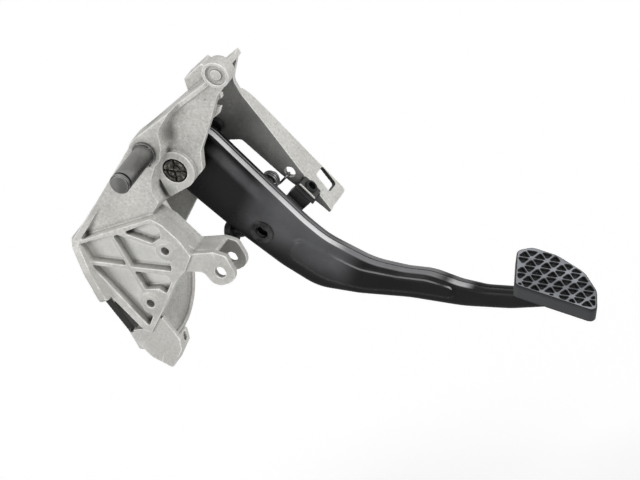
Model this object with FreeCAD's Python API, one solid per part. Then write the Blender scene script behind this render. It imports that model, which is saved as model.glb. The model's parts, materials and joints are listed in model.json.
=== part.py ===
import FreeCAD, Part
import math
import os

os.makedirs("parts", exist_ok=True)

# Brake pedal with its die-cast support bracket, in millimetres.
# x points to the driver, y to the car's right, z up. Outlines are drawn from the pedal's pivot,
# and each piece is saved from the centre of the face that bolts to the bulkhead.

# Bracket casting, across the car
left_cheek_inner = -19.0
left_cheek_wall = 6.0
right_cheek_inner = 14.0
right_cheek_wall = 4.0
side_plate_face = -36.0
side_plate_wall = 4.0
rib_top = -43.0
rib_end_swell = 0.06
roof_wall = 5.0

# Pivot
pivot_bolt_radius = 6.0
pivot_fit = 0.05
sleeve_wall = 2.2
bush_wall = 2.0
bush_flange_wall = 1.4
bush_end_play = 0.3
hub_wall = 2.6
pivot_boss_radius = 16.0
pivot_boss_height = 3.0
bolt_head_radius = 8.8
bolt_head_height = 5.5
bolt_head_slot = 1.8
head_clearance = 1.2
pivot_nut_across = 19.0
pivot_nut_height = 9.0
washer_radius = 12.0
washer_wall = 2.0

# Clutch pedal pin and top boss
clutch_pin_place = (-10.0, 24.0)
clutch_pin_radius = 8.0
clutch_pin_end = -82.5
clutch_pin_groove = 1.2
clutch_collar_radius = 9.2
clutch_collar_height = 2.2
clutch_boss_radius = 13.0
top_boss_place = (76.0, 61.0)
top_boss_radius = 11.0
top_boss_face = -28.0
top_recess_radius = 8.2
top_recess_depth = 2.0
top_stub_radius = 4.6
top_stub_height = 1.2

# Bulkhead flange and its fixing
bulkhead_distance = 105.0
flange_wall = 6.0
flange_radius = 74.0
flange_centre = (6.0, -63.0)
flange_top = -20.0
pushrod_opening_radius = 22.0
stud_spacing_y = 56.0
stud_spacing_z = 58.0
stud_hole_radius = 4.5
stud_boss_radius = 9.0
stud_boss_height = 2.0
flange_rim_width = 3.0
flange_rim_height = 3.0
pushrod_collar_wall = 4.0
pushrod_collar_height = 5.0

# Roof pad
roof_pad_left = -9.0
roof_pad_right = 5.0
roof_pad_hole_x = 47.0
roof_pad_hole_radius = 3.35
roof_lip = 2.0
right_brow_x = -30.0
roof_end_drop = 1.5

# Master cylinder bosses, fork and tail
cylinder_boss_places = [(-33.7, -52.0), (-70.0, -88.0)]
cylinder_boss_radius = 8.5
cylinder_boss_step = 0.7
cylinder_face_radius = 6.2
cylinder_hole_radius = 3.35
fork_hole_place = (-2.0, -83.0)
fork_hole_radius = 4.5
fork_ear_wall = 4.5
fork_left_face = -41.0
fork_right_face = -19.0
tail_hole_radius = 2.5

# Switch arm of the bracket
arm_web_hole = (59.7, -45.6)
arm_web_hole_radius = 4.25
rear_flange_wall = 3.5
slot_low = (26.0, -75.0)
slot_high = (38.0, -58.5)
switch_axis_y = 8.8

# Pedal arm
arm_mid = -3.0
arm_half_width = 6.0
arm_sheet = 2.2
arm_edge_round = 2.6
tongue_height = 1.8
pin_hole_place = (26.5, -75.0)
pin_bore_radius = 5.0
pin_bush_wall = 1.4
pin_flange_radius = 9.0
pin_flange_wall = 1.2
entry_place = (3.5, -71.0)
entry_direction = (-0.98, 0.2)
entry_hole_radius = 4.6
grommet_radius = 8.2
grommet_bore_radius = 3.2
grommet_reach = 5.0

# Switch stop block on the arm
stop_start = (55.6, -57.6)
stop_direction = (0.33, -0.944)
stop_length = 16.0
stop_height = 9.0
stop_width = 9.8
stop_tab_wall = 2.0
clip_gap = 2.2
clip_flange_wall = 2.0
clip_bore_radius = 3.2
clip_barrel_wall = 1.2
clip_fit = 0.05

# Return spring
coil_place = (44.8, -44.6)
coil_wire = 1.0
coil_turns = 4.0
post_radius = 4.0
post_clearance = 0.35
post_head = 1.5
post_lip = 0.8

# Foot pad
pad_corner = (212.4, -169.8)
pad_slope = 38.0
pad_left = -25.0
pad_depth = 11.0
plate_wall = 3.0
plate_depth = 6.5
plate_margin = 3.6
rubber_lip = 2.0
pad_middle = (26.0, 24.0)
tread_depth = 2.5
tread_pitch = 11.4
tread_turn = 14.0
tread_main_rib = 2.8
tread_rib = 1.9
tread_border = 2.0

V = FreeCAD.Vector
ALONG_Y = V(0, 1, 0)


def outline(corners, plane):
    """Closed wire through corners; a third number rounds that corner. plane turns (u, v) into a point."""
    count = len(corners)
    arcs = []
    for i, corner in enumerate(corners):
        here = plane(corner[0], corner[1])
        radius = corner[2] if len(corner) > 2 else 0
        if radius == 0:
            arcs.append((here, None, here))
            continue
        before = (plane(*corners[i - 1][:2]) - here).normalize()
        after = (plane(*corners[(i + 1) % count][:2]) - here).normalize()
        half = before.getAngle(after) / 2
        reach = radius / math.tan(half)
        middle = (before + after).normalize()
        bow = here + middle * (radius / math.sin(half) - radius)
        arcs.append((here + before * reach, bow, here + after * reach))
    edges = []
    for i, (start, bow, end) in enumerate(arcs):
        if bow is not None:
            edges.append(Part.Arc(start, bow, end).toShape())
        following = arcs[(i + 1) % count][0]
        if (following - end).Length > 1e-6:
            edges.append(Part.LineSegment(end, following).toShape())
    return Part.Wire(edges)


def prism(corners, y_low, y_high):
    """Solid over an outline in x and z, from y_low to y_high."""
    wire = outline(corners, lambda x, z: V(x, y_low, z))
    return Part.Face(wire).extrude(V(0, y_high - y_low, 0))


def slab(corners, x_low, x_high):
    """Solid over an outline in y and z, from x_low to x_high."""
    wire = outline(corners, lambda y, z: V(x_low, y, z))
    return Part.Face(wire).extrude(V(x_high - x_low, 0, 0))


def rod(place, radius, y_low, y_high):
    """Cylinder along y."""
    return Part.makeCylinder(radius, y_high - y_low, V(place[0], y_low, place[1]), ALONG_Y)


def strip(start, end, width, y_low, y_high):
    """Straight wall between two points in x and z, with rounded ends."""
    along = V(end[0] - start[0], 0, end[1] - start[1])
    side = V(along.z, 0, -along.x).normalize() * (width / 2)
    corners = [
        (start[0] + side.x, start[1] + side.z),
        (end[0] + side.x, end[1] + side.z),
        (end[0] - side.x, end[1] - side.z),
        (start[0] - side.x, start[1] - side.z),
    ]
    wall = prism(corners, y_low, y_high)
    end_radius = width / 2 + rib_end_swell
    return wall.fuse([rod(start, end_radius, y_low, y_high), rod(end, end_radius, y_low, y_high)])


def chain(points, width, y_low, y_high):
    """Wall along several points in x and z."""
    walls = [strip(a, b, width, y_low, y_high) for a, b in zip(points, points[1:])]
    return walls[0].fuse(walls[1:]) if len(walls) > 1 else walls[0]


def inset(corners, distance, y):
    """Face over the outline, drawn in by a distance."""
    return Part.Face(outline(corners, lambda x, z: V(x, y, z))).makeOffset2D(-distance)


def save(name, shape):
    """Writes one node, moved from the pivot's origin to the bulkhead's."""
    shape = shape.removeSplitter()
    shape.translate(V(-flange_x, -flange_centre[0], -flange_centre[1]))
    shape.exportStep("parts/" + name + ".step")


# Main lines of the bracket in x and z
flange_x = -bulkhead_distance
nose = (flange_x, -22.0)
brow = (-12.0, 37.0)
roof_slope = (top_boss_place[1] + 0.5 - brow[1]) / (top_boss_place[0] - brow[0])
panel_corner = (-34.5, -25.5)


def roof_height(x):
    """Height of the roof's outer face."""
    return brow[1] + roof_slope * (x - brow[0])


def side_plate():
    """Smooth upper part of the left side, a shallow tray with a sloping rear wall, open to the inside."""
    face_corners = [
        nose, brow, (29.0, roof_height(29.0)), (10.5, 36.5, 6), (4.5, 21.5, 8), (-7.5, 11.5, 8),
        (-17.5, 2.0, 8), (-22.5, -7.5, 4), (-22.0, -17.0, 3), panel_corner, (flange_x, -26.0),
    ]
    base_corners = [
        nose, brow, (38.0, roof_height(38.0)), (20.0, 38.5, 6), (10.5, 22.0, 8), (-1.5, 11.0, 8),
        (-11.5, 0.5, 8), (-16.5, -9.0, 4), (-17.0, -19.5, 3), panel_corner, (flange_x, -26.0),
    ]
    tray = ruled(face_corners, side_plate_face, base_corners, left_cheek_inner)
    inside = inset(face_corners, side_plate_wall, side_plate_face + side_plate_wall)
    return tray.cut(inside.extrude(V(0, left_cheek_inner - side_plate_face, 0)))


def left_cheek():
    """Recessed cheek that carries the pivot and the top boss."""
    outer = left_cheek_inner - left_cheek_wall
    corners = [
        (-22.0, 24.0), brow, (top_boss_place[0] - 4, roof_height(top_boss_place[0] - 4)),
        (top_boss_place[0] + 7, 53.0, 5), (66.0, 44.0, 12), (46.0, 24.0, 20), (27.5, 7.0, 8),
        (20.0, -8.0, 6), (4.0, -15.0, 10), (-18.5, -20.0, 3), (-26.0, -8.0, 6),
    ]
    cheek = prism(corners, outer, left_cheek_inner)
    pivot_boss = rod((0, 0), pivot_boss_radius, outer - pivot_boss_height, left_cheek_inner)
    tip = prism([(-15.5, -3.0), (-16.0, -18.6, 2), (3.0, -15.5), (0.0, 0.0)], outer - pivot_boss_height, outer)
    top_boss = rod(top_boss_place, top_boss_radius, top_boss_face, left_cheek_inner + 3)
    tabs = [
        prism([(60.0, 45.5), (66.8, 43.8), (66.2, 40.2), (60.0, 39.0)], left_cheek_inner - 2, left_cheek_inner + 2),
        prism([(52.5, 37.0), (61.4, 33.8), (57.4, 29.4), (49.5, 27.0)], left_cheek_inner - 2, left_cheek_inner + 1),
    ]
    dimple = rod((55.0, 44.2), 1.4, outer - 1, outer + 0.8)
    return cheek.fuse([pivot_boss, tip, top_boss] + tabs).cut(dimple)


def ruled(left_corners, left_y, right_corners, right_y):
    """Solid with straight lines from an outline at one place across to an outline at another."""
    left = outline(left_corners, lambda x, z: V(x, left_y, z))
    right = outline(right_corners, lambda x, z: V(x, right_y, z))
    return Part.makeLoft([left, right], True, True)


front_slope = (brow[1] - nose[1]) / (brow[0] - nose[0])
right_brow = (right_brow_x, nose[1] + front_slope * (right_brow_x - nose[0]))


def roof():
    """Web over the pedal, from the bulkhead up to the top boss, with the upper fixing pad."""
    right = right_cheek_inner + right_cheek_wall
    brow_low = (brow[0] + 2, brow[1] - roof_wall - 1)
    nose_low = (nose[0], nose[1] - roof_wall - 1)
    left = left_cheek_inner - left_cheek_wall
    front = prism([nose, brow, brow_low, nose_low], side_plate_face, left)
    right_low = (right_brow[0] + 2, right_brow[1] - roof_wall - 1)
    front = front.fuse(ruled([nose, brow, brow_low, nose_low], left, [nose, right_brow, right_low, nose_low], right))
    window = [(-84.0, -22.0, 6), (-84.0, 20.0, 6), (-36.0, 40.0, 6), (-36.0, -22.0, 6)]
    front = front.cut(prism(window, left_cheek_inner + 8, right_cheek_inner - 8))
    end_x = top_boss_place[0] - 2
    end_z = roof_height(end_x)
    right_z = end_z - roof_end_drop
    rear = ruled([brow, (end_x, end_z), (end_x, end_z - roof_wall), brow_low], left,
                 [right_brow, (end_x, right_z), (end_x, right_z - roof_wall), right_low], right)
    lip = prism([
        (26.0, roof_height(26.0)), (end_x - 2, roof_height(end_x - 2)), (end_x - 2, roof_height(end_x - 2) - 4),
        (26.0, roof_height(26.0) - 4),
    ], left - roof_lip, left)
    pad = prism([
        (32.5, roof_height(32.5) - 4), (36.0, roof_height(36.0) + 9.0, 1.5), (57.0, roof_height(57.0) + 10.5, 1.5),
        (60.5, roof_height(60.5) - 4),
    ], roof_pad_left, roof_pad_right)
    return front.fuse([rear, lip, pad])


def roof_pad_hole():
    """Screw hole of the upper fixing pad, square to the roof."""
    along = V(-roof_slope, 0, 1).normalize()
    middle = V(roof_pad_hole_x, (roof_pad_left + roof_pad_right) / 2, roof_height(roof_pad_hole_x))
    return Part.makeCylinder(roof_pad_hole_radius, 40, middle - along * 20, along)


def right_cheek():
    """Right wall with its own pivot boss and the long switch arm."""
    outer = right_cheek_inner + right_cheek_wall
    wall_start = flange_x + flange_wall
    corners = [
        (wall_start, nose[1] + 1), (right_brow[0], right_brow[1] - 1), (70.0, roof_height(70.0) - 2), (74.0, 56.6, 2),
        (57.5, 38.0, 10), (57.0, 26.6, 8), (62.8, -7.5, 60), (68.3, -44.5, 90), (74.8, -84.4, 1), (72.0, -86.5, 1),
        (69.5, -80.0, 4), (51.6, -45.6, 20), (36.5, -9.2, 4), (24.4, -5.8, 8), (-47.0, -57.4), (wall_start, -96.0),
    ]
    cheek = prism(corners, right_cheek_inner, outer)
    window = [(-88.0, -28.0, 8), (-52.0, -6.0, 8), (-52.0, -50.0, 8), (-88.0, -76.0, 8)]
    cheek = cheek.cut(prism(window, right_cheek_inner - 1, outer + 1))
    boss = rod((0, 0), pivot_boss_radius - 1, right_cheek_inner, outer + 4)
    cut = rod(arm_web_hole, arm_web_hole_radius, right_cheek_inner - 1, outer + 1)
    return cheek.fuse(boss).cut(cut)


def rear_flange():
    """Flange along the switch arm, widening downwards, with its long slot."""
    edge = [(57.0, 28.0), (57.0, 26.6, 8), (62.8, -7.5, 60), (68.3, -44.5, 90), (74.8, -84.4),
            (74.8 - rear_flange_wall, -84.4), (68.3 - rear_flange_wall, -44.5, 90),
            (62.8 - rear_flange_wall, -7.5, 60), (57.0 - rear_flange_wall, 26.6), (57.0 - rear_flange_wall, 28.0)]
    band = prism(edge, right_cheek_inner, right_cheek_inner + 40)
    front = [(right_cheek_inner, 28.0), (20.0, 28.0, 4), (24.5, 18.0, 20), (43.0, -84.0, 3), (right_cheek_inner, -86.0)]
    band = band.common(slab(front, 40, 90))
    slot = [(slot_low[0], slot_low[1], 2), (slot_high[0], slot_low[1], 2),
            (slot_high[0], slot_high[1], 2), (slot_low[0], slot_high[1], 2)]
    return band.cut(slab(slot, 50, 90))


def stop_point(along, out):
    """Point in x and z beside the arm's rear edge: along it, and out from it."""
    x = stop_start[0] + stop_direction[0] * along - stop_direction[1] * out
    z = stop_start[1] + stop_direction[1] * along + stop_direction[0] * out
    return (x, z)


def stop_box(along_low, along_high, out_low, out_high, y_low, y_high, radius=0.0):
    """Block lined up with the arm's rear edge."""
    corners = [
        stop_point(along_low, out_low) + (radius,), stop_point(along_low, out_high) + (radius,),
        stop_point(along_high, out_high) + (radius,), stop_point(along_high, out_low) + (radius,),
    ]
    return prism(corners, y_low, y_high)


lug_front = stop_height + clip_gap + clip_flange_wall
lug_wall = 2.4
lug_left = switch_axis_y - 5.4


def switch_axis_rod(radius, out_low, out_high):
    """Cylinder on the brake light switch's axis."""
    start = stop_point(stop_length / 2, out_low)
    end = stop_point(stop_length / 2, out_high)
    low = V(start[0], switch_axis_y, start[1])
    high = V(end[0], switch_axis_y, end[1])
    return Part.makeCylinder(radius, (high - low).Length, low, high - low)


def switch_lug():
    """Plate across the switch arm that holds the switch clip."""
    plate = stop_box(0, stop_length, lug_front, lug_front + lug_wall, lug_left, right_cheek_inner + 4, 0.8)
    hole = switch_axis_rod(clip_bore_radius + clip_barrel_wall + clip_fit, lug_front - 1, lug_front + lug_wall + 1)
    return plate.cut(hole)


def ribbed_panel():
    """Lower left side: a raised plate with pockets between its ribs, and two cylinder bosses."""
    inner = side_plate_face + side_plate_wall
    plate = prism([
        (flange_x, -23.0), (-31.5, -24.3, 2), (-25.2, -32.0, 8), (-18.5, -49.0, 20), (-16.8, -63.0), (-27.8, -72.3),
        (-41.3, -79.0, 20), (-57.8, -91.9, 60), (-83.6, -111.3, 1), (-88.6, -107.6), (-101.6, -67.5), (flange_x, -64.0),
    ], rib_top, inner)
    pockets = [
        [(-100.0, -25.9, 2), (-71.6, -27.1, 1.5), (-71.6, -53.7, 1.5), (-101.4, -40.2, 1.5)],
        [(-68.9, -28.0, 1.5), (-65.0, -28.2, 1), (-44.5, -45.4, 1), (-37.0, -47.0, 1), (-35.0, -60.0, 1),
         (-38.6, -69.3, 1.5), (-68.9, -55.8, 1.5)],
        [(-60.0, -27.6, 1.5), (-34.8, -27.4, 4), (-28.6, -34.0, 4), (-32.0, -41.5, 2), (-41.2, -43.3, 1.5)],
        [(-100.6, -44.2, 1.5), (-71.6, -57.3, 1.5), (-71.6, -76.6, 1), (-79.2, -84.0, 3), (-79.0, -94.0, 4),
         (-73.8, -97.8, 2), (-82.6, -105.6, 1.5)],
        [(-68.7, -59.8, 1.5), (-43.8, -72.2, 3), (-43.6, -77.0, 2), (-53.4, -85.0, 1.5), (-57.4, -79.4, 1), (-68.4, -76.4, 1)],
    ]
    deep = side_plate_face - rib_top
    plate = plate.cut([prism(corners, rib_top - 1, rib_top + deep) for corners in pockets])
    bosses = []
    holes = []
    for place in cylinder_boss_places:
        bosses.append(rod(place, cylinder_boss_radius, rib_top - cylinder_boss_step, inner))
        bosses.append(rod(place, cylinder_face_radius, rib_top - 2 * cylinder_boss_step, inner))
        holes.append(rod(place, cylinder_hole_radius, rib_top - 5, inner + 1))
    return plate.fuse(bosses).cut(holes)


def front_wedge():
    """Rim along the front edge of the side plate, fading out upwards."""
    slope = front_slope
    end = 36.0
    low = 5.6
    rim = prism([
        nose, (nose[0] + end, nose[1] + slope * end), (nose[0] + end, nose[1] + slope * end - low), (nose[0] + 5, nose[1] - 3),
    ], rib_top, side_plate_face + 1)
    taper = [
        (nose[0] - 1, rib_top), (nose[0] + 6, rib_top), (nose[0] + end - 2, side_plate_face),
        (nose[0] + end - 2, side_plate_face + 2), (nose[0] - 1, side_plate_face + 2),
    ]
    keep = Part.Face(Part.makePolygon([V(x, y, nose[1] - 10) for x, y in taper + taper[:1]])).extrude(V(0, 0, 60))
    return rim.common(keep)


def panel_back():
    """Walls behind the panel's rear edge, up to the fork."""
    right = fork_right_face + fork_ear_wall
    rear = chain([(-34.5, -25.5), (-26.5, -37.0), (-17.0, -62.5), (1.0, -67.5)], 3.6, side_plate_face, fork_right_face + 1)
    ear = [
        (-24.0, -60.0), (1.0, -65.8, 3), (9.5, -72.0, 5), (10.0, -93.5, 10), (-13.0, -93.5, 10),
        (-15.0, -79.0, 5), (-30.0, -73.0),
    ]
    ears = [
        prism(ear, fork_left_face, fork_left_face + fork_ear_wall),
        prism(ear, fork_right_face, right),
    ]
    hole = rod(fork_hole_place, fork_hole_radius, rib_top - 1, right + 1)
    return rear.fuse(ears).cut(hole)


def tail():
    """Pointed lower end of the side wall with its small end face."""
    face = rib_top + 2
    side = prism([
        (flange_x + 2.6, -104.6), (-88.8, -107.0), (-70.0, -103.0), (-66.0, -124.0, 3), (-70.0, -133.0, 2),
        (-85.0, -144.0, 2), (-97.0, -130.0, 12), (flange_x + 2.4, -112.0, 20),
    ], face, face + side_plate_wall)
    end = chain([(-84.0, -141.0), (-70.5, -130.5), (-68.0, -123.0)], 3.5, face, face + 16)
    hole = Part.makeCylinder(tail_hole_radius, 14, V(-76.0, face + 10, -131.0), V(0.86, 0, 0.5))
    return side.fuse(end).cut(hole)


def bulkhead_flange():
    """Flat flange against the bulkhead, round but for its top and left edges."""
    disc = Part.makeCylinder(flange_radius, flange_wall, V(flange_x, flange_centre[0], flange_centre[1]), V(1, 0, 0))
    rim = Part.makeCylinder(flange_radius, flange_wall + flange_rim_height,
                            V(flange_x, flange_centre[0], flange_centre[1]), V(1, 0, 0))
    rim_inner = Part.makeCylinder(flange_radius - flange_rim_width, flange_wall + 9,
                                  V(flange_x - 1, flange_centre[0], flange_centre[1]), V(1, 0, 0))
    left = [
        (-40.0, flange_top), (-46.0, -25.5), (-50.8, -48.0, 30), (-51.2, -72.5, 3), (-44.5, -74.5, 1), (-38.0, -106.0),
        (-38.0, -160.0),
    ]
    keep = slab(left + [(120.0, -160.0), (120.0, flange_top)], flange_x, flange_x + 12)
    plate = disc.fuse(rim.cut(rim_inner)).common(keep)
    bosses = []
    holes = []
    for side in (-1, 1):
        for level in (-1, 1):
            y = flange_centre[0] + side * stud_spacing_y / 2
            z = flange_centre[1] + level * stud_spacing_z / 2
            bosses.append(Part.makeCylinder(stud_boss_radius, flange_wall + stud_boss_height, V(flange_x, y, z), V(1, 0, 0)))
            holes.append(Part.makeCylinder(stud_hole_radius, 30, V(flange_x - 10, y, z), V(1, 0, 0)))
    collar = Part.makeCylinder(pushrod_opening_radius + pushrod_collar_wall, flange_wall + pushrod_collar_height,
                               V(flange_x, flange_centre[0], flange_centre[1]), V(1, 0, 0))
    opening = Part.makeCylinder(pushrod_opening_radius, 40,
                                V(flange_x - 10, flange_centre[0], flange_centre[1]), V(1, 0, 0))
    return plate.fuse(bosses + [collar]), holes + [opening]


def bracket_casting():
    """The whole light alloy casting."""
    flange, flange_holes = bulkhead_flange()
    clutch_boss = rod(clutch_pin_place, clutch_boss_radius, side_plate_face, left_cheek_inner)
    body = side_plate().fuse([
        left_cheek(), roof(), right_cheek(), rear_flange(), switch_lug(), ribbed_panel(), front_wedge(),
        panel_back(), tail(), flange, clutch_boss,
    ])
    outer = left_cheek_inner - left_cheek_wall - pivot_boss_height
    right_outer = right_cheek_inner + right_cheek_wall + 4
    cuts = flange_holes + [
        rod((0, 0), pivot_bolt_radius + pivot_fit, outer - 1, right_outer + 1),
        rod((0, 0), bolt_head_radius + head_clearance, outer - 1, outer + bolt_head_height),
        rod(clutch_pin_place, clutch_pin_radius, side_plate_face - 1, left_cheek_inner + 1),
        rod(top_boss_place, top_recess_radius, top_boss_face - 1, top_boss_face + top_recess_depth).cut(
            rod(top_boss_place, top_stub_radius, top_boss_face + top_recess_depth - top_stub_height, top_boss_face + 5)),
        roof_pad_hole(),
    ]
    return body.cut(cuts)


def clutch_pivot_pin():
    """Plain steel pin for the neighbouring clutch pedal, with a ring groove near its end."""
    pin = rod(clutch_pin_place, clutch_pin_radius, clutch_pin_end, left_cheek_inner - 1)
    chamfered = pin.makeChamfer(1.0, [edge for edge in pin.Edges if abs(edge.CenterOfMass.y - clutch_pin_end) < 0.1])
    groove_start = clutch_pin_end + 3.5
    groove = rod(clutch_pin_place, clutch_pin_radius + 1, groove_start, groove_start + clutch_pin_groove)
    groove = groove.cut(rod(clutch_pin_place, clutch_pin_radius - 0.6, groove_start - 1, groove_start + 3))
    collar = rod(clutch_pin_place, clutch_collar_radius, side_plate_face - clutch_collar_height, side_plate_face)
    key = prism([(-14.2, 17.0), (-10.6, 17.0), (-10.9, 12.9), (-14.0, 12.9)],
                side_plate_face - clutch_collar_height, side_plate_face)
    return chamfered.cut(groove).fuse([collar, key])


sleeve_radius = pivot_bolt_radius + pivot_fit + sleeve_wall
bush_radius = sleeve_radius + pivot_fit + bush_wall
hub_radius = bush_radius + hub_wall
hub_low = left_cheek_inner + bush_end_play + bush_flange_wall
hub_high = right_cheek_inner - bush_end_play - bush_flange_wall


def pivot_bolt():
    """Bolt through both cheeks, its round slotted head sunk in the left boss."""
    seat = left_cheek_inner - left_cheek_wall - pivot_boss_height + bolt_head_height
    end = right_cheek_inner + right_cheek_wall + 4 + washer_wall + pivot_nut_height + 2
    shank = rod((0, 0), pivot_bolt_radius, seat, end)
    head = rod((0, 0), bolt_head_radius, seat - bolt_head_height, seat)
    ring = rod((0, 0), bolt_head_radius - 2, seat - bolt_head_height, seat - bolt_head_height + 1)
    ring = ring.cut(rod((0, 0), bolt_head_radius - 4.5, seat - bolt_head_height, seat))
    slots = []
    for turn in (-68, 22):
        slot = Part.makeBox(2 * bolt_head_radius, 2.2, bolt_head_slot,
                            V(-bolt_head_radius, seat - bolt_head_height, -bolt_head_slot / 2))
        slot.rotate(V(0, 0, 0), ALONG_Y, turn)
        slots.append(slot)
    return shank.fuse(head).cut([ring] + slots)


def hexagon(across, y_low, y_high):
    """Hexagonal prism on the pivot axis."""
    corner = across / 2 / math.cos(math.radians(30))
    points = [(corner * math.cos(math.radians(60 * i)), corner * math.sin(math.radians(60 * i))) for i in range(6)]
    return prism(points, y_low, y_high)


def pivot_washer():
    """Washer under the nut."""
    low = right_cheek_inner + right_cheek_wall + 4
    return rod((0, 0), washer_radius, low, low + washer_wall).cut(
        rod((0, 0), pivot_bolt_radius + 0.3, low - 1, low + washer_wall + 1))


def pivot_nut():
    """Nut on the bolt's right end."""
    low = right_cheek_inner + right_cheek_wall + 4 + washer_wall
    nut = hexagon(pivot_nut_across, low, low + pivot_nut_height)
    dome = Part.makeCone(pivot_nut_across * 0.72, pivot_nut_across * 0.5, pivot_nut_height + 4, V(0, low - 2, 0), ALONG_Y)
    return nut.common(dome).cut(rod((0, 0), pivot_bolt_radius, low - 1, low + pivot_nut_height + 1))


def pivot_sleeve():
    """Distance tube clamped between the cheeks."""
    tube = rod((0, 0), sleeve_radius, left_cheek_inner, right_cheek_inner)
    return tube.cut(rod((0, 0), pivot_bolt_radius + pivot_fit, left_cheek_inner - 1, right_cheek_inner + 1))


def hub_bush(side):
    """Flanged plastic bush in one end of the hub."""
    mouth = hub_low if side < 0 else hub_high
    flange_end = mouth + side * bush_flange_wall
    barrel_end = mouth - side * 12
    barrel = rod((0, 0), bush_radius, min(mouth, barrel_end), max(mouth, barrel_end))
    flange = rod((0, 0), hub_radius, min(mouth, flange_end), max(mouth, flange_end))
    bore = rod((0, 0), sleeve_radius + pivot_fit, left_cheek_inner - 1, right_cheek_inner + 1)
    return barrel.fuse(flange).cut(bore)


def hub_tube():
    """Hub tube welded across the arm."""
    return rod((0, 0), hub_radius, hub_low, hub_high).cut(rod((0, 0), bush_radius, hub_low - 1, hub_high + 1))


def pad_point(along, depth):
    """Point in x and z on the pad: along its slope from the top corner, and down from its face."""
    slope = math.radians(pad_slope)
    x = pad_corner[0] + along * math.cos(slope) - depth * math.sin(slope)
    z = pad_corner[1] - along * math.sin(slope) - depth * math.cos(slope)
    return (x, z)


def arm_corners():
    """Side outline of the arm, from the hub down to the foot plate."""
    under = plate_depth + plate_wall
    end_top = pad_point(28.5, under)
    end_low = pad_point(42.0, under)
    end_heel = pad_point(41.0, under + 6)
    rear = [
        (-18.0, 2.0, 16), (-6.0, 22.0, 14), (20.0, 24.0, 10), (31.0, 12.0, 20), (48.0, -36.0, 300), (63.0, -78.0, 120),
        (72.0, -97.0, 60), (97.0, -126.0, 60), (120.0, -140.0, 60), (139.0, -148.5, 40), (156.0, -163.0, 30),
        (173.0, -173.5, 40), (196.0, -182.5, 60),
    ]
    front = [
        (214.0, -201.5, 20), (186.0, -194.5, 90), (150.0, -181.0, 120), (112.0, -161.5, 120), (74.0, -146.0, 60),
        (44.0, -130.5, 40), (26.0, -105.0, 60), (4.0, -65.0, 300), (-16.0, -22.0, 30),
    ]
    return rear + [end_top, end_low, end_heel] + front


def tongue_corners():
    """Raised tongue pressed into the side of the arm."""
    return [
        (36.0, -98.0, 8), (52.0, -88.0, 8), (63.0, -101.0, 30), (86.0, -127.0, 40), (112.0, -141.5, 40),
        (134.0, -151.5, 30), (151.0, -164.0, 3.5), (147.0, -171.5, 3.5), (118.0, -157.0, 60), (80.0, -142.0, 50), (54.0, -125.0, 40),
    ]


def half_shell(side):
    """One pressed half of the arm, open at the seam; side is -1 for the left half."""
    outer_y = arm_mid + side * arm_half_width
    low = min(outer_y, arm_mid)
    high = max(outer_y, arm_mid)
    solid = prism(arm_corners(), low, high)
    edges = [edge for edge in solid.Edges
             if abs(edge.BoundBox.YMin - outer_y) < 1e-4 and abs(edge.BoundBox.YMax - outer_y) < 1e-4]
    solid = solid.makeFillet(arm_edge_round, edges)
    tongue = prism(tongue_corners(), min(outer_y, outer_y + side * tongue_height), max(outer_y, outer_y + side * tongue_height))
    solid = solid.fuse(tongue)
    hollow_end = outer_y - side * arm_sheet
    hollow = inset(arm_corners(), arm_sheet, arm_mid).extrude(V(0, hollow_end - arm_mid, 0))
    tongue_inner = inset(tongue_corners(), arm_sheet, hollow_end).extrude(V(0, side * tongue_height, 0))
    hub = rod((0, 0), hub_radius, low - 10, high + 10)
    pin = rod(pin_hole_place, pin_bore_radius + pin_bush_wall, low - 10, high + 10)
    entry = entry_rod(entry_hole_radius, -12, 14)
    return solid.cut([hollow, tongue_inner, hub, pin, entry])


def entry_rod(radius, start, end):
    """Cylinder on the pushrod's line through the arm's front wall, measured outwards."""
    direction = V(entry_direction[0], 0, entry_direction[1]).normalize()
    middle = V(entry_place[0], arm_mid, entry_place[1])
    return Part.makeCylinder(radius, end - start, middle + direction * start, direction)


def pushrod_grommet():
    """Rubber collar in the arm's front wall where the booster's rod goes in."""
    collar = entry_rod(grommet_radius, 2.5, 2.5 + grommet_reach)
    neck = entry_rod(entry_hole_radius, -4, 3)
    return collar.fuse(neck).cut(entry_rod(grommet_bore_radius, -6, 20)).cut(half_shell_block())


def half_shell_block():
    """The arm's closed outline, to trim what seats on its front wall."""
    body = prism(arm_corners(), arm_mid - arm_half_width, arm_mid + arm_half_width)
    return body.cut(entry_rod(entry_hole_radius, -12, 14))


def pin_bush(side):
    """Flanged bush for the clevis pin in one wall of the arm."""
    outer_y = arm_mid + side * arm_half_width
    flange_end = outer_y + side * pin_flange_wall
    inner_end = outer_y - side * (arm_sheet + 1)
    barrel = rod(pin_hole_place, pin_bore_radius + pin_bush_wall, min(inner_end, outer_y), max(inner_end, outer_y))
    flange = rod(pin_hole_place, pin_flange_radius, min(outer_y, flange_end), max(outer_y, flange_end))
    return barrel.fuse(flange).cut(rod(pin_hole_place, pin_bore_radius, outer_y - 10, outer_y + 10))


def stop_tab():
    """Pressed steel angle on the arm's right wall, under the stop block."""
    wall = arm_mid + arm_half_width
    seat = stop_box(0, stop_length, -stop_tab_wall, 0, wall, wall + stop_width)
    upright = stop_box(0, stop_length, -9, 0, wall, wall + stop_tab_wall)
    return seat.fuse(upright)


def switch_stop_block():
    """Moulded block that works the brake light switch."""
    wall = arm_mid + arm_half_width
    block = stop_box(0, stop_length, 0, stop_height, wall + 0.2, wall + stop_width, 0.8)
    return block


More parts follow.
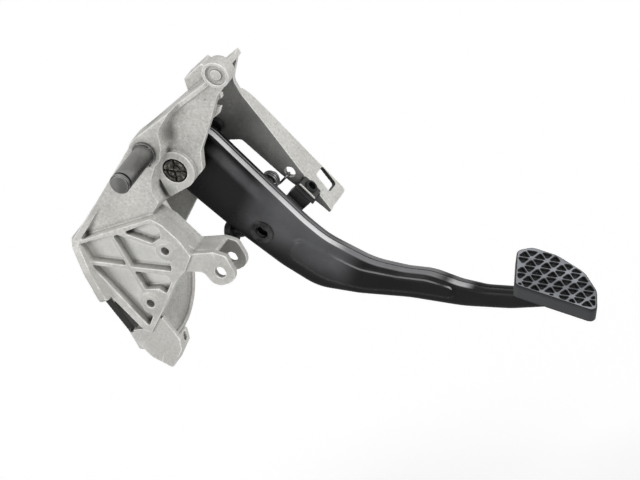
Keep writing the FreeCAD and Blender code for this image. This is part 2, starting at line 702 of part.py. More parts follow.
def switch_clip():
    """Plastic socket for the brake light switch, snapped into the lug."""
    flange = stop_box(-1.0, stop_length + 1.5, lug_front - clip_flange_wall, lug_front,
                      lug_left - 2.4, right_cheek_inner - 0.4, 0.8)
    barrel = switch_axis_rod(clip_bore_radius + clip_barrel_wall, lug_front - 0.5, lug_front + lug_wall + 1.8)
    ring = switch_axis_rod(clip_bore_radius + clip_barrel_wall + 0.6, lug_front + lug_wall, lug_front + lug_wall + 1.6)
    bore = switch_axis_rod(clip_bore_radius, lug_front - clip_flange_wall - 1, lug_front + lug_wall + 8)
    return flange.fuse([barrel, ring]).cut(bore)


coil_low = arm_mid + arm_half_width + 0.4 + coil_wire


def spring_post():
    """Stud on the arm's right wall that holds the coil."""
    wall = arm_mid + arm_half_width
    end = coil_low + coil_turns * 2 * coil_wire + coil_wire
    post = rod(coil_place, post_radius, wall, end)
    return post.fuse(rod(coil_place, post_radius + post_lip, end - post_head, end))


def wire_leg(points, bend):
    """Round wire along a few points with rounded bends."""
    path = []
    here = points[0]
    for before, corner, after in zip(points, points[1:], points[2:]):
        into = (before - corner).normalize()
        away = (after - corner).normalize()
        half = into.getAngle(away) / 2
        reach = bend / math.tan(half)
        start = corner + into * reach
        end = corner + away * reach
        bow = corner + (into + away).normalize() * (bend / math.sin(half) - bend)
        path.append(Part.LineSegment(here, start).toShape())
        path.append(Part.Arc(start, bow, end).toShape())
        here = end
    path.append(Part.LineSegment(here, points[-1]).toShape())
    ring = Part.Wire(Part.makeCircle(coil_wire, points[0], points[1] - points[0]))
    return Part.Wire(path).makePipeShell([ring], True, False)


def return_spring():
    """Torsion spring drawn as its close-wound body and two legs."""
    low = coil_low - coil_wire
    high = coil_low + 2 * coil_wire * coil_turns - coil_wire / 2
    inner = post_radius + post_clearance + post_lip
    body = rod(coil_place, inner + 2 * coil_wire, low, high).cut(rod(coil_place, inner, low - 1, high + 1))
    middle = inner + coil_wire
    leg_y = high - coil_wire * 1.15
    web_leg = wire_leg([
        V(coil_place[0] - 2, leg_y, coil_place[1] + middle),
        V(arm_web_hole[0] - 1, leg_y, arm_web_hole[1] + 1),
        V(arm_web_hole[0] - 1, right_cheek_inner + right_cheek_wall + 1, arm_web_hole[1] + 1),
    ], 2.0)
    rest_y = low + coil_wire * 1.15
    rest_leg = Part.makeCylinder(coil_wire, 22, V(coil_place[0] - middle, rest_y, coil_place[1] + 2), V(-0.05, 0, -1))
    return body.fuse([web_leg, rest_leg])


def cheek_plug():
    """Black plug in the right cheek's locating hole."""
    place = (25.0, 9.0)
    return rod(place, 5.5, right_cheek_inner - 5, right_cheek_inner)


pad_across = [
    (0.0, 0.0, 5), (-14.7, 40.6, 7), (-6.0, 50.0, 6), (13.7, 50.3, 20), (39.4, 41.0, 25), (56.0, 24.0, 20), (66.0, -0.5, 5),
]


def pad_face(margin, depth):
    """Face parallel to the tread over the pad's outline, drawn in by a margin."""
    def plane(along, across):
        x, z = pad_point(along, depth)
        return V(x, pad_left + across, z)
    face = Part.Face(outline(pad_across, plane))
    return face.makeOffset2D(-margin) if margin else face


def pad_layer(margin, top, bottom):
    """Solid under the pad's outline between two depths."""
    slope = math.radians(pad_slope)
    down = V(-math.sin(slope), 0, -math.cos(slope)) * (bottom - top)
    return pad_face(margin, top).extrude(down)


def foot_plate():
    """Steel plate welded to the arm's end, inside the rubber."""
    return pad_layer(plate_margin, plate_depth, plate_depth + plate_wall)


def pad_rib(turn, offset, width, length):
    """Bar across the pad's face at an angle to its long side, seen square to the tread."""
    low = -width / 2 + offset
    bar = Part.makeBox(width, length, tread_depth + 2, V(low, -length / 2, -tread_depth - 1))
    bar.rotate(V(0, 0, 0), V(0, 0, 1), -turn)
    bar.rotate(V(0, 0, 0), ALONG_Y, pad_slope)
    middle = pad_point(pad_middle[0], 0)
    bar.translate(V(middle[0], pad_left + pad_middle[1], middle[1]))
    return bar


def tread_pits():
    """Triangular pits left between three families of ribs."""
    rise = tread_pitch * math.sqrt(3) / 2
    span = 110.0
    count = int(span / 2 / rise)
    floor = pad_layer(tread_border, 0, tread_depth)
    ribs = []
    for turn, width in ((tread_turn, tread_main_rib), (tread_turn + 60, tread_rib), (tread_turn + 120, tread_rib)):
        for i in range(-count, count + 1):
            ribs.append(pad_rib(turn, i * rise, width, span))
    return floor.cut(ribs)


def rubber_pad():
    """Rubber pad over the foot plate, with its lip turned round the plate's edge."""
    body = pad_layer(0, 0, pad_depth)
    pocket = pad_layer(plate_margin, plate_depth, plate_depth + plate_wall)
    mouth = pad_layer(plate_margin + rubber_lip, plate_depth, pad_depth + 1)
    return body.cut([pocket, mouth, tread_pits()])


save("bracket_casting", bracket_casting())
save("clutch_pivot_pin", clutch_pivot_pin())
save("pivot_bolt", pivot_bolt())
save("pivot_washer", pivot_washer())
save("pivot_nut", pivot_nut())
save("pivot_sleeve", pivot_sleeve())
save("switch_clip", switch_clip())
save("cheek_plug", cheek_plug())
save("arm_left_shell", half_shell(-1))
save("arm_right_shell", half_shell(1))
save("hub_tube", hub_tube())
save("hub_bush_left", hub_bush(-1))
save("hub_bush_right", hub_bush(1))
save("pin_bush_left", pin_bush(-1))
save("pin_bush_right", pin_bush(1))
save("pushrod_grommet", pushrod_grommet())
save("stop_tab", stop_tab())
save("switch_stop_block", switch_stop_block())
save("spring_post", spring_post())
save("return_spring", return_spring())
save("foot_plate", foot_plate())
save("rubber_pad", rubber_pad())
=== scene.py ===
import json
import math

import bmesh
import bpy
from mathutils import Matrix, Vector


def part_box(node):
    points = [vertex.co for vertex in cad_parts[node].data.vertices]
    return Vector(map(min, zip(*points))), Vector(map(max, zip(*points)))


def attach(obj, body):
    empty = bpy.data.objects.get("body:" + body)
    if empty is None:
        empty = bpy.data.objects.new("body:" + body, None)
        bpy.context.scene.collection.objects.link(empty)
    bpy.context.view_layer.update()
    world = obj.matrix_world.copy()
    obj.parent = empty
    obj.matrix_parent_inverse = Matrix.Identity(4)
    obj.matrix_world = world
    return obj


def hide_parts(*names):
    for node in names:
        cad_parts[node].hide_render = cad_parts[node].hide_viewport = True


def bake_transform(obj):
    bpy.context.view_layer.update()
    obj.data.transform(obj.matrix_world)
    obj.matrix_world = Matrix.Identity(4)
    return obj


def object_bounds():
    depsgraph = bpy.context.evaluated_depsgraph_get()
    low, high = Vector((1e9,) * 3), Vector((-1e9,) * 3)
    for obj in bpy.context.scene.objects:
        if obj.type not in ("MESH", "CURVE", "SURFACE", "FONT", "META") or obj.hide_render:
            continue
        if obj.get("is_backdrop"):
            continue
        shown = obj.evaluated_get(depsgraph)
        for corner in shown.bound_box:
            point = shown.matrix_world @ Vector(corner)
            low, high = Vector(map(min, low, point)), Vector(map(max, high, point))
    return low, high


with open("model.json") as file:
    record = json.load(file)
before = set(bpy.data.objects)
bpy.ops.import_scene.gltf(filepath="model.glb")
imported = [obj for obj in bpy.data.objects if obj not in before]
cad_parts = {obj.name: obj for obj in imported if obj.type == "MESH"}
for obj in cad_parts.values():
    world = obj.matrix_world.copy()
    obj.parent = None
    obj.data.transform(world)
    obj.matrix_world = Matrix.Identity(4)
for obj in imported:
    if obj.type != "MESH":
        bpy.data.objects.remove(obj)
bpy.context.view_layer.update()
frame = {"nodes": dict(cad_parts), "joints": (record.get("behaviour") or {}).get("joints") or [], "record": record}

nodes = frame["nodes"]
scene = bpy.context.scene

# Directions in the frame.
REARWARD = Vector((1, 0, 0))
RIGHT = Vector((0, 1, 0))
LEFT = Vector((0, -1, 0))
UP = Vector((0, 0, 1))

# Places and sizes on the object are in millimetres, and places are off the pedal's pivot.
MM = 0.001
PIVOT = Vector(frame["joints"][0]["pos_m"])

# Outer face of the foot pad: its corner and the way that it faces.
PAD_CORNER = (212.4, 0.0, -169.8)
PAD_SLOPE = math.radians(38.0)
PAD_OUT = Vector((math.sin(PAD_SLOPE), 0, math.cos(PAD_SLOPE)))

# Rear edge of the arm's straight upper part, and the way that it faces.
ARM_REAR = (48.0, 0.0, -36.0)
ARM_REAR_OUT = Vector((0.942, 0, 0.336))

# Middle of the arm's bend, and the ways down along the arm and across it there.
ARM_MIDDLE = (58.0, 0.0, -105.0)
ARM_DOWN = Vector((0.62, 0, -0.785))
ARM_ACROSS = Vector((0.785, 0, 0.62))

# Ways that the arm's rim and its lower rear edge face.
RIM_OUT = Vector((0.9, 0, 0.436))
LOWER_OUT = Vector((0.62, -0.1, 0.78))

# Face of the bulkhead flange, and the free end of the clutch pedal's pin with the way that its top faces.
BULKHEAD = ((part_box("bracket_casting")[0].x - PIVOT.x) / MM, 0.0, 0.0)
PIN_END = (0.0, (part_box("clutch_pivot_pin")[0].y - PIVOT.y) / MM, 0.0)
PIN_TOP = Vector((0.683, 0, 0.729))

# Return spring: its wire, and the coil's axis, radius, left end, pitch, turns, first angle and points a turn.
WIRE = 1.9
COIL_PLACE = (44.8, 0.0, -44.6)
COIL_RADIUS = 6.15
COIL_START = 4.45
COIL_PITCH = 2.12
COIL_TURNS = 3.25
COIL_ANGLE = math.radians(188)
COIL_STEPS = 40

# Ends of the leg along the arm, off the coil's axis.
LEG_END = (-7.0, -21)
LEG_START = (-6.2, -4)

# The hook: its straight run off the coil, and its points on each side of the web's hole, off the hole's axis.
WEB_HOLE = (59.7, 14.0, -45.6)
HOOK_RUN = 3
HOOK_LEFT = (-3.2, 11.3, -1.6)
HOOK_RIGHT = (-2.7, 16.6, -1.4)


def place(x, y, z):
    """Point in the frame, from millimetres off the pivot."""
    return PIVOT + Vector((x, y, z)) * MM


# Camera, floor and light

# The view is the photograph's. Its width, its aim off the pivot and its clipping are in metres.
VIEW_RIGHT = Vector((0.786, 0.385, -0.484)).normalized()
VIEW_UP = Vector((0.255, 0.512, 0.821)).normalized()
VIEW_WIDTH = 0.47407
AIM_RIGHT = 0.0966
AIM_DOWN = 0.0654
CLIP = (0.5, 60.0)
LENS = 700.0
SENSOR = 36.0

# The floor, in metres, lies below the object.
FLOOR_DROP = 0.16
FLOOR_RADIUS = 8.0
FLOOR_X = 0.2
FLOOR_SEGMENTS = 64
FLOOR_GREY = 0.8
FLOOR_ROUGHNESS = 0.9

# Light of the surroundings, and each lamp's direction seen from the object, strength and width in degrees.
WORLD_LEVEL = 0.3
LAMPS = {
    "left": (Vector((-0.54, -0.8, 0.3)).normalized(), 1.55, 34),
    "rear": (Vector((0.93, -0.12, 0.33)).normalized(), 1.8, 16),
    "top": (Vector((0.3, -0.25, 0.92)).normalized(), 0.7, 40),
}


def add_camera():
    """Long lens square to the photograph's view of the object."""
    back = VIEW_RIGHT.cross(VIEW_UP).normalized()
    up = back.cross(VIEW_RIGHT)
    data = bpy.data.cameras.new("camera")
    data.lens = LENS
    data.sensor_width = SENSOR
    data.clip_start, data.clip_end = CLIP
    camera = bpy.data.objects.new("camera", data)
    aim = PIVOT + VIEW_RIGHT * AIM_RIGHT - VIEW_UP * AIM_DOWN
    turn = Matrix((VIEW_RIGHT, up, back)).transposed().to_4x4()
    camera.matrix_world = Matrix.Translation(aim + back * VIEW_WIDTH * LENS / SENSOR) @ turn
    scene.collection.objects.link(camera)
    scene.camera = camera


def add_sun(name, toward, strength, angle):
    """Distant soft lamp; toward points from the object to the lamp."""
    data = bpy.data.lights.new(name, "SUN")
    data.energy = strength
    data.angle = math.radians(angle)
    lamp = bpy.data.objects.new(name, data)
    lamp.rotation_mode = "QUATERNION"
    lamp.rotation_quaternion = (-toward).to_track_quat("-Z", "Y")
    scene.collection.objects.link(lamp)


def larger(tree, first, second):
    """The larger of two sockets' values."""
    made = tree.nodes.new("ShaderNodeMath")
    made.operation = "MAXIMUM"
    tree.links.new(first, made.inputs[0])
    tree.links.new(second, made.inputs[1])
    return made.outputs[0]


def seen_ray(tree):
    """1 for camera, glossy and transmission rays, 0 for the rays that light the object."""
    path = tree.nodes.new("ShaderNodeLightPath")
    mirrored = larger(tree, path.outputs["Is Camera Ray"], path.outputs["Is Glossy Ray"])
    return larger(tree, mirrored, path.outputs["Is Transmission Ray"])


def add_world():
    """White surroundings that light the object at a plain level."""
    world = bpy.data.worlds.new("world")
    scene.world = world
    world.use_nodes = True
    tree = world.node_tree
    tree.nodes.clear()
    level = tree.nodes.new("ShaderNodeMapRange")
    level.inputs["To Min"].default_value = WORLD_LEVEL
    level.inputs["To Max"].default_value = 1.0
    tree.links.new(seen_ray(tree), level.inputs["Value"])
    background = tree.nodes.new("ShaderNodeBackground")
    background.inputs["Color"].default_value = (1, 1, 1, 1)
    tree.links.new(level.outputs["Result"], background.inputs["Strength"])
    out = tree.nodes.new("ShaderNodeOutputWorld")
    tree.links.new(background.outputs[0], out.inputs["Surface"])


def add_floor(height):
    """Pale floor under the object, which the camera sees white where no shadow falls."""
    mesh = bpy.data.meshes.new("floor")
    made = bmesh.new()
    bmesh.ops.create_circle(made, cap_ends=True, radius=FLOOR_RADIUS, segments=FLOOR_SEGMENTS)
    made.to_mesh(mesh)
    made.free()
    floor = bpy.data.objects.new("floor", mesh)
    floor.location = (FLOOR_X, 0, height)
    scene.collection.objects.link(floor)
    material = bpy.data.materials.new("floor")
    material.use_nodes = True
    tree = material.node_tree
    shader = tree.nodes["Principled BSDF"]
    shader.inputs["Roughness"].default_value = FLOOR_ROUGHNESS
    shader.inputs["Specular IOR Level"].default_value = 0.0
    from_lamps = sum(strength * max(toward.z, 0) for toward, strength, angle in LAMPS.values())
    lit = WORLD_LEVEL + from_lamps / math.pi
    mix = tree.nodes.new("ShaderNodeMix")
    mix.data_type = "RGBA"
    mix.inputs["A"].default_value = (FLOOR_GREY, FLOOR_GREY, FLOOR_GREY, 1)
    mix.inputs["B"].default_value = (1 / lit, 1 / lit, 1 / lit, 1)
    tree.links.new(seen_ray(tree), mix.inputs["Factor"])
    tree.links.new(mix.outputs["Result"], shader.inputs["Base Color"])
    mesh.materials.append(material)
    floor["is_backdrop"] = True


# Material parts

# Rays for each point of a softened edge and of a corner.
EDGE_RAYS = 8
CORNER_RAYS = 6


class Paint:
    """A node material in the making, with short calls for its parts. Lengths are in millimetres."""

    def __init__(self, name, metallic=0.0, specular=0.5):
        self.material = bpy.data.materials.new(name)
        self.material.use_nodes = True
        self.tree = self.material.node_tree
        self.shader = self.tree.nodes["Principled BSDF"]
        self.shader.inputs["Metallic"].default_value = metallic
        self.shader.inputs["Specular IOR Level"].default_value = specular
        self.coords = self.tree.nodes.new("ShaderNodeTexCoord").outputs["Object"]
        self.normal = None

    def feed(self, value, socket):
        """Links a socket's value to another socket, or sets it."""
        if isinstance(value, bpy.types.NodeSocket):
            self.tree.links.new(value, socket)
        elif isinstance(value, tuple) and len(value) == 3 and socket.type == "RGBA":
            socket.default_value = (*value, 1)
        else:
            socket.default_value = value

    def node(self, kind, **inputs):
        """Node of a kind, with its inputs by name."""
        made = self.tree.nodes.new(kind)
        for name, value in inputs.items():
            self.feed(value, made.inputs[name.replace("_", " ")])
        return made

    def two(self, kind, operation, first, second):
        """Node that combines two values or two vectors."""
        made = self.tree.nodes.new(kind)
        made.operation = operation
        self.feed(first, made.inputs[0])
        self.feed(second, made.inputs[1])
        return made

    def dot(self, first, second):
        """How far one vector points along another."""
        return self.two("ShaderNodeVectorMath", "DOT_PRODUCT", first, second).outputs["Value"]

    def mix(self, factor, first, second):
        """Colour between two, the second where the factor is 1."""
        made = self.tree.nodes.new("ShaderNodeMix")
        made.data_type = "RGBA"
        self.feed(factor, made.inputs["Factor"])
        self.feed(first, made.inputs["A"])
        self.feed(second, made.inputs["B"])
        return made.outputs["Result"]

    def noise(self, scale, detail, stretch=None):
        """Noise from 0 to 1, with its scale per metre."""
        coords = self.coords
        if stretch:
            coords = self.node("ShaderNodeMapping", Vector=coords, Scale=stretch).outputs["Vector"]
        return self.node("ShaderNodeTexNoise", Vector=coords, Scale=scale, Detail=detail).outputs["Fac"]

    def ramp(self, value, low, high, at_low, at_high):
        """Smooth change from one result to another while a value goes from low to high."""
        made = self.node("ShaderNodeMapRange", Value=value, From_Min=low, From_Max=high,
                         To_Min=at_low, To_Max=at_high)
        made.interpolation_type = "SMOOTHSTEP"
        return made.outputs["Result"]

    def above(self, value, low, high):
        """0 below low, 1 above high."""
        return self.ramp(value, low, high, 0, 1)

    def below(self, value, low, high):
        """1 below low, 0 above high."""
        return self.ramp(value, low, high, 1, 0)

    def between(self, value, low, high, soft):
        """1 where a value lies between two limits, fading out beside them."""
        return self.all_of(self.above(value, low - soft, low), self.below(value, high, high + soft))

    def all_of(self, first, *others):
        """Product of masks and shares."""
        for other in others:
            first = self.two("ShaderNodeMath", "MULTIPLY", first, other).outputs[0]
        return first

    def any_of(self, first, second):
        """The larger of two masks."""
        return self.two("ShaderNodeMath", "MAXIMUM", first, second).outputs[0]

    def cloudy(self, noise, dark, light, low=0.35, high=0.7):
        """Colour that goes from dark to light as a noise does."""
        return self.mix(self.above(noise, low, high), dark, light)

    def along(self, start, direction):
        """Distance from a place, along a direction."""
        offset = self.two("ShaderNodeVectorMath", "SUBTRACT", self.coords, place(*start)).outputs["Vector"]
        return self.dot(offset, direction / MM)

    def off_pivot(self, direction):
        """Distance from the pivot, along a direction."""
        return self.along((0, 0, 0), direction)

    def near(self, point, inside, outside):
        """1 within a distance of a place, 0 beyond a larger one."""
        distance = self.two("ShaderNodeVectorMath", "DISTANCE", self.coords, place(*point)).outputs["Value"]
        return self.below(distance, inside * MM, outside * MM)

    def bevelled(self, radius):
        """The surface's normal, turning softly over its edges."""
        made = self.node("ShaderNodeBevel", Radius=radius * MM)
        made.samples = EDGE_RAYS
        return made.outputs["Normal"]

    def towards(self, normal, direction):
        """How far a normal points in a direction of the piece's own frame, so that it moves with its body."""
        own = self.node("ShaderNodeVectorTransform", Vector=normal)
        own.vector_type = "NORMAL"
        own.convert_from = "WORLD"
        own.convert_to = "OBJECT"
        return self.dot(own.outputs["Vector"], direction)

    def aspect(self, direction):
        """How far the surface faces a direction of the piece's frame, from -1 to 1."""
        return self.towards(self.tree.nodes.new("ShaderNodeNewGeometry").outputs["Normal"], direction)

    def facing(self, direction, low=0.6, high=0.85):
        """1 where the surface faces a direction of the piece's frame."""
        return self.above(self.aspect(direction), low, high)

    def flat(self, direction, radius, low, high):
        """1 where the surface faces a direction of the piece's frame, fading out towards its edges."""
        return self.above(self.towards(self.bevelled(radius), direction), low, high)

    def sharp(self, radius, low, high):
        """1 along the outer and inner edges of a coarse mesh."""
        plain = self.tree.nodes.new("ShaderNodeNewGeometry").outputs["Normal"]
        return self.below(self.dot(self.bevelled(radius), plain), low, high)

    def edge(self, low, high):
        """1 along the outer edges of a dense mesh."""
        return self.above(self.tree.nodes.new("ShaderNodeNewGeometry").outputs["Pointiness"], low, high)

    def crevice(self, distance, low, high):
        """1 in tight corners, 0 in the open."""
        made = self.node("ShaderNodeAmbientOcclusion", Distance=distance * MM)
        made.samples = CORNER_RAYS
        return self.below(made.outputs["AO"], low, high)

    def rounded(self, radius):
        """Softens the shading of sharp edges."""
        self.normal = self.node("ShaderNodeBevel", Radius=radius * MM).outputs["Normal"]

    def bump(self, height, distance, strength):
        """Raises the shading by a noise, on top of what came before."""
        made = self.node("ShaderNodeBump", Height=height, Distance=distance * MM, Strength=strength)
        if self.normal is not None:
            self.tree.links.new(self.normal, made.inputs["Normal"])
        self.normal = made.outputs["Normal"]

    def finish(self, colour, roughness):
        """Connects the shader and returns the material."""
        self.feed(colour, self.shader.inputs["Base Color"])
        self.feed(roughness, self.shader.inputs["Roughness"])
        if self.normal is not None:
            self.tree.links.new(self.normal, self.shader.inputs["Normal"])
        return self.material


# Cast alloy

# In this and the next sections a place has two numbers, where a fade starts and ends, or three, a band's
# limits and how far it fades out beside them. Colours are linear red, green and blue.

# The plain surface, its patches, the pits and peaks of its skin, its finest grain and its edges.
CAST_DULL = (0.44, 0.433, 0.409)
CAST_FRESH = (0.55, 0.544, 0.519)
CAST_PATCH = (0.4, 0.39, 0.36)
CAST_PIT = (0.3, 0.292, 0.268)
CAST_PEAK = (0.72, 0.715, 0.69)
CAST_GRAIN = (0.66, 0.655, 0.63)
CAST_EDGE = (0.8, 0.795, 0.775)

# The ribbed panel below the left side plate, and painted light that lifts the shade on the floors of its pockets.
PANEL_TOP = (-34, -28)
PANEL_RIGHT = (-28, -24)
PANEL_RIBS = (0.38, 0.374, 0.352)
POCKET_LIGHT = (0.86, 0.855, 0.83)

# Painted shade on the inside of the right wall: its colour darker higher up, with lighter patches.
WALL_SIDE = (5, 15, 1)
WALL_SHADE_FRONT = (-42, -8)
WALL_SHADE_TOP = (4, 30)
WALL_SHADE_HEIGHT = (-75, 0)
WALL_SHADE_LOW = (0.12, 0.12, 0.118)
WALL_SHADE_HIGH = (0.08, 0.08, 0.079)
WALL_SHADE_PATCH = (0.22, 0.218, 0.21)

# Painted shade in the valleys behind the clutch pedal's pin and under the pivot boss, and how far each reaches.
PIN_VALLEY = (6, -22, 33)
PIN_SHADE_REACH = (7, 16)
BOSS_VALLEY = (-16, -20, -14)
BOSS_SHADE_REACH = (6, 14)
VALLEY_SHADE = (0.1, 0.098, 0.09)

# Painted shade on the inside of the fork's far ear.
EAR_SIDE = (-19.6, -18.2, 0.3)
EAR_TOP = (-66, -60)
EAR_FRONT = (-16, -12)
EAR_SHADE = (0.16, 0.157, 0.148)

# Painted shade on the switch lug, and on the walls of the flange's slot beside it.
LUG_SIDE = (0, 13.6, 0.4)
LUG_HEIGHT = (-78, -48, 2)
LUG_FRONT = (60, 64)
SLOT_SIDE = (24.5, 39.5, 0.5)
SLOT_HEIGHT = (-76.5, -57, 0.5)
SLOT_FRONT = (60, 62)
SLOT_OUT = Vector((0.99, 0, 0.15))
LUG_SHADE = (0.04, 0.039, 0.037)

# Painted shade on the edge of the bulkhead flange under the panel, off the bulkhead, and painted shade in the
# casting's tight corners, weaker near the bulkhead.
FLANGE_REAR = (5.8, 6.6)
GAP_HEIGHT = (-106, -74, 1)
GAP_RIGHT = (-30, -26)
GAP_SHADE = (0.01, 0.0095, 0.0085)
CORNER_SHADE_FADE = (7, 13)
CORNER_SHADE = (0.05, 0.048, 0.044)


def cast_places(paint, base, patch):
    """Places of the casting over its plain surface: the darker panel, bright edges, painted shade in hollows and
    shaded spots, and painted light on the pocket floors.
    """
    x = paint.off_pivot(REARWARD)
    y = paint.off_pivot(RIGHT)
    z = paint.off_pivot(UP)
    off_bulkhead = paint.along(BULKHEAD, REARWARD)
    panel = paint.all_of(paint.below(z, *PANEL_TOP), paint.below(y, *PANEL_RIGHT))
    base = paint.mix(paint.all_of(panel, 0.45), base, PANEL_RIBS)
    edges = paint.all_of(paint.edge(0.508, 0.55), paint.ramp(patch, 0.35, 0.6, 0.3, 1))
    base = paint.mix(edges, base, CAST_EDGE)

    # Painted shade on the inside of the right wall, strongest low down and towards the rear.
    wall = paint.all_of(paint.facing(LEFT), paint.between(y, *WALL_SIDE), paint.ramp(x, *WALL_SHADE_FRONT, 0.25, 1))
    wall_shade = paint.mix(paint.above(z, *WALL_SHADE_HEIGHT), WALL_SHADE_LOW, WALL_SHADE_HIGH)
    wall_shade = paint.mix(paint.ramp(patch, 0.45, 0.8, 0, 0.4), wall_shade, WALL_SHADE_PATCH)
    base = paint.mix(paint.all_of(wall, paint.ramp(z, *WALL_SHADE_TOP, 0.86, 0.55)), base, wall_shade)

    # Painted shade in the valleys by the pin and under the pivot boss.
    valley_shade = paint.any_of(paint.near(PIN_VALLEY, *PIN_SHADE_REACH), paint.near(BOSS_VALLEY, *BOSS_SHADE_REACH))
    base = paint.mix(paint.all_of(valley_shade, 0.8), base, VALLEY_SHADE)
    # Painted light: the floors of the panel's pockets, lightened where tight corners shade them.
    lit_pockets = paint.all_of(paint.facing(LEFT, 0.8, 0.95), paint.crevice(20, 0.55, 0.95), panel)
    base = paint.mix(paint.all_of(lit_pockets, 0.8), base, POCKET_LIGHT)

    # Painted shade on the far ear's inner face.
    ear = paint.all_of(paint.facing(LEFT), paint.between(y, *EAR_SIDE), paint.below(z, *EAR_TOP),
                       paint.above(x, *EAR_FRONT))
    base = paint.mix(paint.all_of(ear, 0.7), base, EAR_SHADE)
    # Painted shade on the switch lug and in the slot.
    lug = paint.all_of(paint.below(paint.aspect(LEFT), 0.5, 0.8), paint.between(y, *LUG_SIDE),
                       paint.between(z, *LUG_HEIGHT), paint.above(x, *LUG_FRONT))
    slot = paint.all_of(paint.below(paint.aspect(SLOT_OUT), 0.85, 0.96), paint.between(y, *SLOT_SIDE),
                        paint.between(z, *SLOT_HEIGHT), paint.above(x, *SLOT_FRONT))
    base = paint.mix(paint.any_of(lug, slot), base, LUG_SHADE)

    # Painted shade on the flange's edge under the panel.
    gap = paint.all_of(paint.below(off_bulkhead, *FLANGE_REAR), paint.between(z, *GAP_HEIGHT),
                       paint.below(y, *GAP_RIGHT), paint.facing(REARWARD, -0.6, -0.3))
    base = paint.mix(gap, base, GAP_SHADE)
    # Painted shade in tight corners.
    corners = paint.all_of(paint.crevice(5, 0.38, 0.84), paint.ramp(off_bulkhead, *CORNER_SHADE_FADE, 0.2, 1))
    return paint.mix(corners, base, CORNER_SHADE)


def cast_alloy():
    """Raw die-cast alloy: light grey with a fine rough grain, bright on its edges, with painted shade in its
    corners and hollows and painted light on its pocket floors.
    """
    paint = Paint("cast_alloy", metallic=0.15, specular=0.35)
    patch = paint.noise(120, 4)
    speck = paint.noise(560, 6)
    grain = paint.noise(1500, 3)
    base = paint.cloudy(paint.noise(26, 3), CAST_DULL, CAST_FRESH)
    base = paint.mix(paint.ramp(patch, 0.48, 0.78, 0, 0.5), base, CAST_PATCH)
    base = paint.mix(paint.ramp(speck, 0.5, 0.68, 0, 0.55), base, CAST_PIT)
    base = paint.mix(paint.ramp(speck, 0.3, 0.46, 0.5, 0), base, CAST_PEAK)
    base = paint.mix(paint.ramp(grain, 0.35, 0.65, 0, 0.35), base, CAST_GRAIN)
    base = cast_places(paint, base, patch)
    paint.bump(paint.noise(240, 3), 0.3, 0.5)
    paint.bump(speck, 0.3, 0.7)
    paint.bump(grain, 0.15, 0.7)
    return paint.finish(base, paint.ramp(patch, 0.3, 0.7, 0.42, 0.6))


# Paint of the arm

PAINT_DARK = (0.002, 0.002, 0.0024)
PAINT_LIGHT = (0.007, 0.007, 0.0077)

# Painted sheen, a painted reflection, on the side wall above the bend, inward of the rear edge and by height.
UPPER_SHEEN_IN = (8, 11, 6)
UPPER_SHEEN_HEIGHT = (-64, -8, 14)
UPPER_SHEEN = (0.085, 0.086, 0.09)

# Painted sheen, a painted reflection, on the side wall at the bend, along the arm and across it.
LOWER_SHEEN_DOWN = (-46, 14, 24)
LOWER_SHEEN_ACROSS = (-21, 4)
LOWER_SHEEN = (0.088, 0.089, 0.093)

# Painted highlights on the rims of the two shells, from side to side, and where they end down the arm.
LEFT_RIM_SIDE = (-7.8, -4.1, 0.5)
LEFT_RIM_DOWN = (5, 40)
LEFT_RIM_HIGHLIGHT = (0.62, 0.62, 0.63)
RIGHT_RIM_SIDE = (-2.2, -1.4, 0.3)
RIGHT_RIM_DOWN = (60, 95)
RIGHT_RIM_HIGHLIGHT = (0.16, 0.16, 0.165)

# Painted highlight on the rear edge below the bend, and the painted glint above the pad with its side.
LOWER_EDGE_DOWN = (22, 86, 14)
LOWER_EDGE_HIGHLIGHT = (0.17, 0.17, 0.176)
GLINT_DOWN = (104, 110, 9)
GLINT_SIDE = (-3.6, -2.4)
GLINT = (0.38, 0.38, 0.39)


def arm_sheen(paint, base, mottle, cloud, down):
    """Broad painted sheen, a painted reflection, on the side wall, above the bend and along it."""
    z = paint.off_pivot(UP)
    inward = paint.along(ARM_REAR, -ARM_REAR_OUT)
    across = paint.along(ARM_MIDDLE, ARM_ACROSS)
    # Painted sheen above the bend.
    upper = paint.all_of(paint.between(inward, *UPPER_SHEEN_IN), paint.between(z, *UPPER_SHEEN_HEIGHT),
                         paint.ramp(mottle, 0.25, 0.6, 0.4, 1))
    base = paint.mix(upper, base, UPPER_SHEEN)
    # Painted sheen at the bend.
    lower = paint.all_of(paint.between(down, *LOWER_SHEEN_DOWN), paint.above(across, *LOWER_SHEEN_ACROSS),
                         paint.ramp(cloud, 0.25, 0.5, 0.6, 1), paint.ramp(mottle, 0.2, 0.6, 0.6, 1))
    return paint.mix(lower, base, LOWER_SHEEN)


